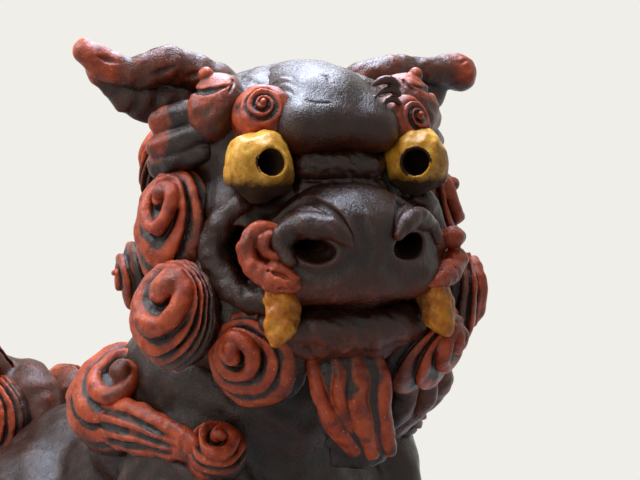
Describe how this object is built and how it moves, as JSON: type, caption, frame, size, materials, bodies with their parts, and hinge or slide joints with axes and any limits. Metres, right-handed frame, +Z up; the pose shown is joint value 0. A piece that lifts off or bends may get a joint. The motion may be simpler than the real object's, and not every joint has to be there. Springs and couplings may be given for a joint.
{
  "type": "guardian lion statue",
  "caption": "Hand-built clay guardian lion standing on all fours, head turned aside, bead eyes, fangs, beard and a mane of applied spiral curls; rests on its paws.",
  "frame": {"origin": "on the ground under the middle of the statue", "axes": "+Z up, -Y to the front of the body, +X to the statue's left"},
  "size_m": [0.1493, 0.2739, 0.2964],
  "materials": {
    "dark_slip_clay": "fired clay under a thin dark brown slip, satin, hand smoothed",
    "wiped_terracotta": "fired red clay, slip wiped off the ridges and left in the grooves, satin",
    "ochre_clay": "fired yellow clay with brown stain, pricked surface, satin"
  },
  "bodies": {
    "root": {"torso_shell": "dark_slip_clay", "head_shell": "dark_slip_clay", "brow_slab": "dark_slip_clay", "bridge_bar": "dark_slip_clay", "snout": "dark_slip_clay", "lower_jaw": "dark_slip_clay", "tongue": "dark_slip_clay", "beard": "wiped_terracotta", "tail": "dark_slip_clay", "crest_curl": "wiped_terracotta", "nape_curl": "wiped_terracotta", "right_eye": "ochre_clay", "left_eye": "ochre_clay", "right_fang": "ochre_clay", "left_fang": "ochre_clay", "right_nostril_rim": "dark_slip_clay", "left_nostril_rim": "dark_slip_clay", "right_lip_roll": "dark_slip_clay", "left_lip_roll": "dark_slip_clay", "right_moustache_curl": "wiped_terracotta", "left_moustache_curl": "wiped_terracotta", "right_ear": "dark_slip_clay", "left_ear": "dark_slip_clay", "right_brow_curl": "wiped_terracotta", "left_brow_curl": "wiped_terracotta", "right_temple_curl": "wiped_terracotta", "left_temple_curl": "wiped_terracotta", "right_cheek_curl": "wiped_terracotta", "left_cheek_curl": "wiped_terracotta", "right_jowl_curl": "wiped_terracotta", "left_jowl_curl": "wiped_terracotta", "right_chin_curl": "wiped_terracotta", "left_chin_curl": "wiped_terracotta", "right_ear_curl": "wiped_terracotta", "left_ear_curl": "wiped_terracotta", "right_mane_side_curl": "wiped_terracotta", "left_mane_side_curl": "wiped_terracotta", "right_mane_high_curl": "wiped_terracotta", "left_mane_high_curl": "wiped_terracotta", "right_mane_low_curl": "wiped_terracotta", "left_mane_low_curl": "wiped_terracotta", "right_withers_curl": "wiped_terracotta", "left_withers_curl": "wiped_terracotta", "right_shoulder_curl": "wiped_terracotta", "left_shoulder_curl": "wiped_terracotta", "right_shoulder_tuft": "wiped_terracotta", "left_shoulder_tuft": "wiped_terracotta", "right_haunch_curl": "wiped_terracotta", "left_haunch_curl": "wiped_terracotta", "right_tail_curl": "wiped_terracotta", "left_tail_curl": "wiped_terracotta", "right_front_leg": "dark_slip_clay", "left_front_leg": "dark_slip_clay", "right_hind_leg": "dark_slip_clay", "left_hind_leg": "dark_slip_clay", "right_front_paw": "dark_slip_clay", "left_front_paw": "dark_slip_clay", "right_hind_paw": "dark_slip_clay", "left_hind_paw": "dark_slip_clay"}
  },
  "joints": []
}
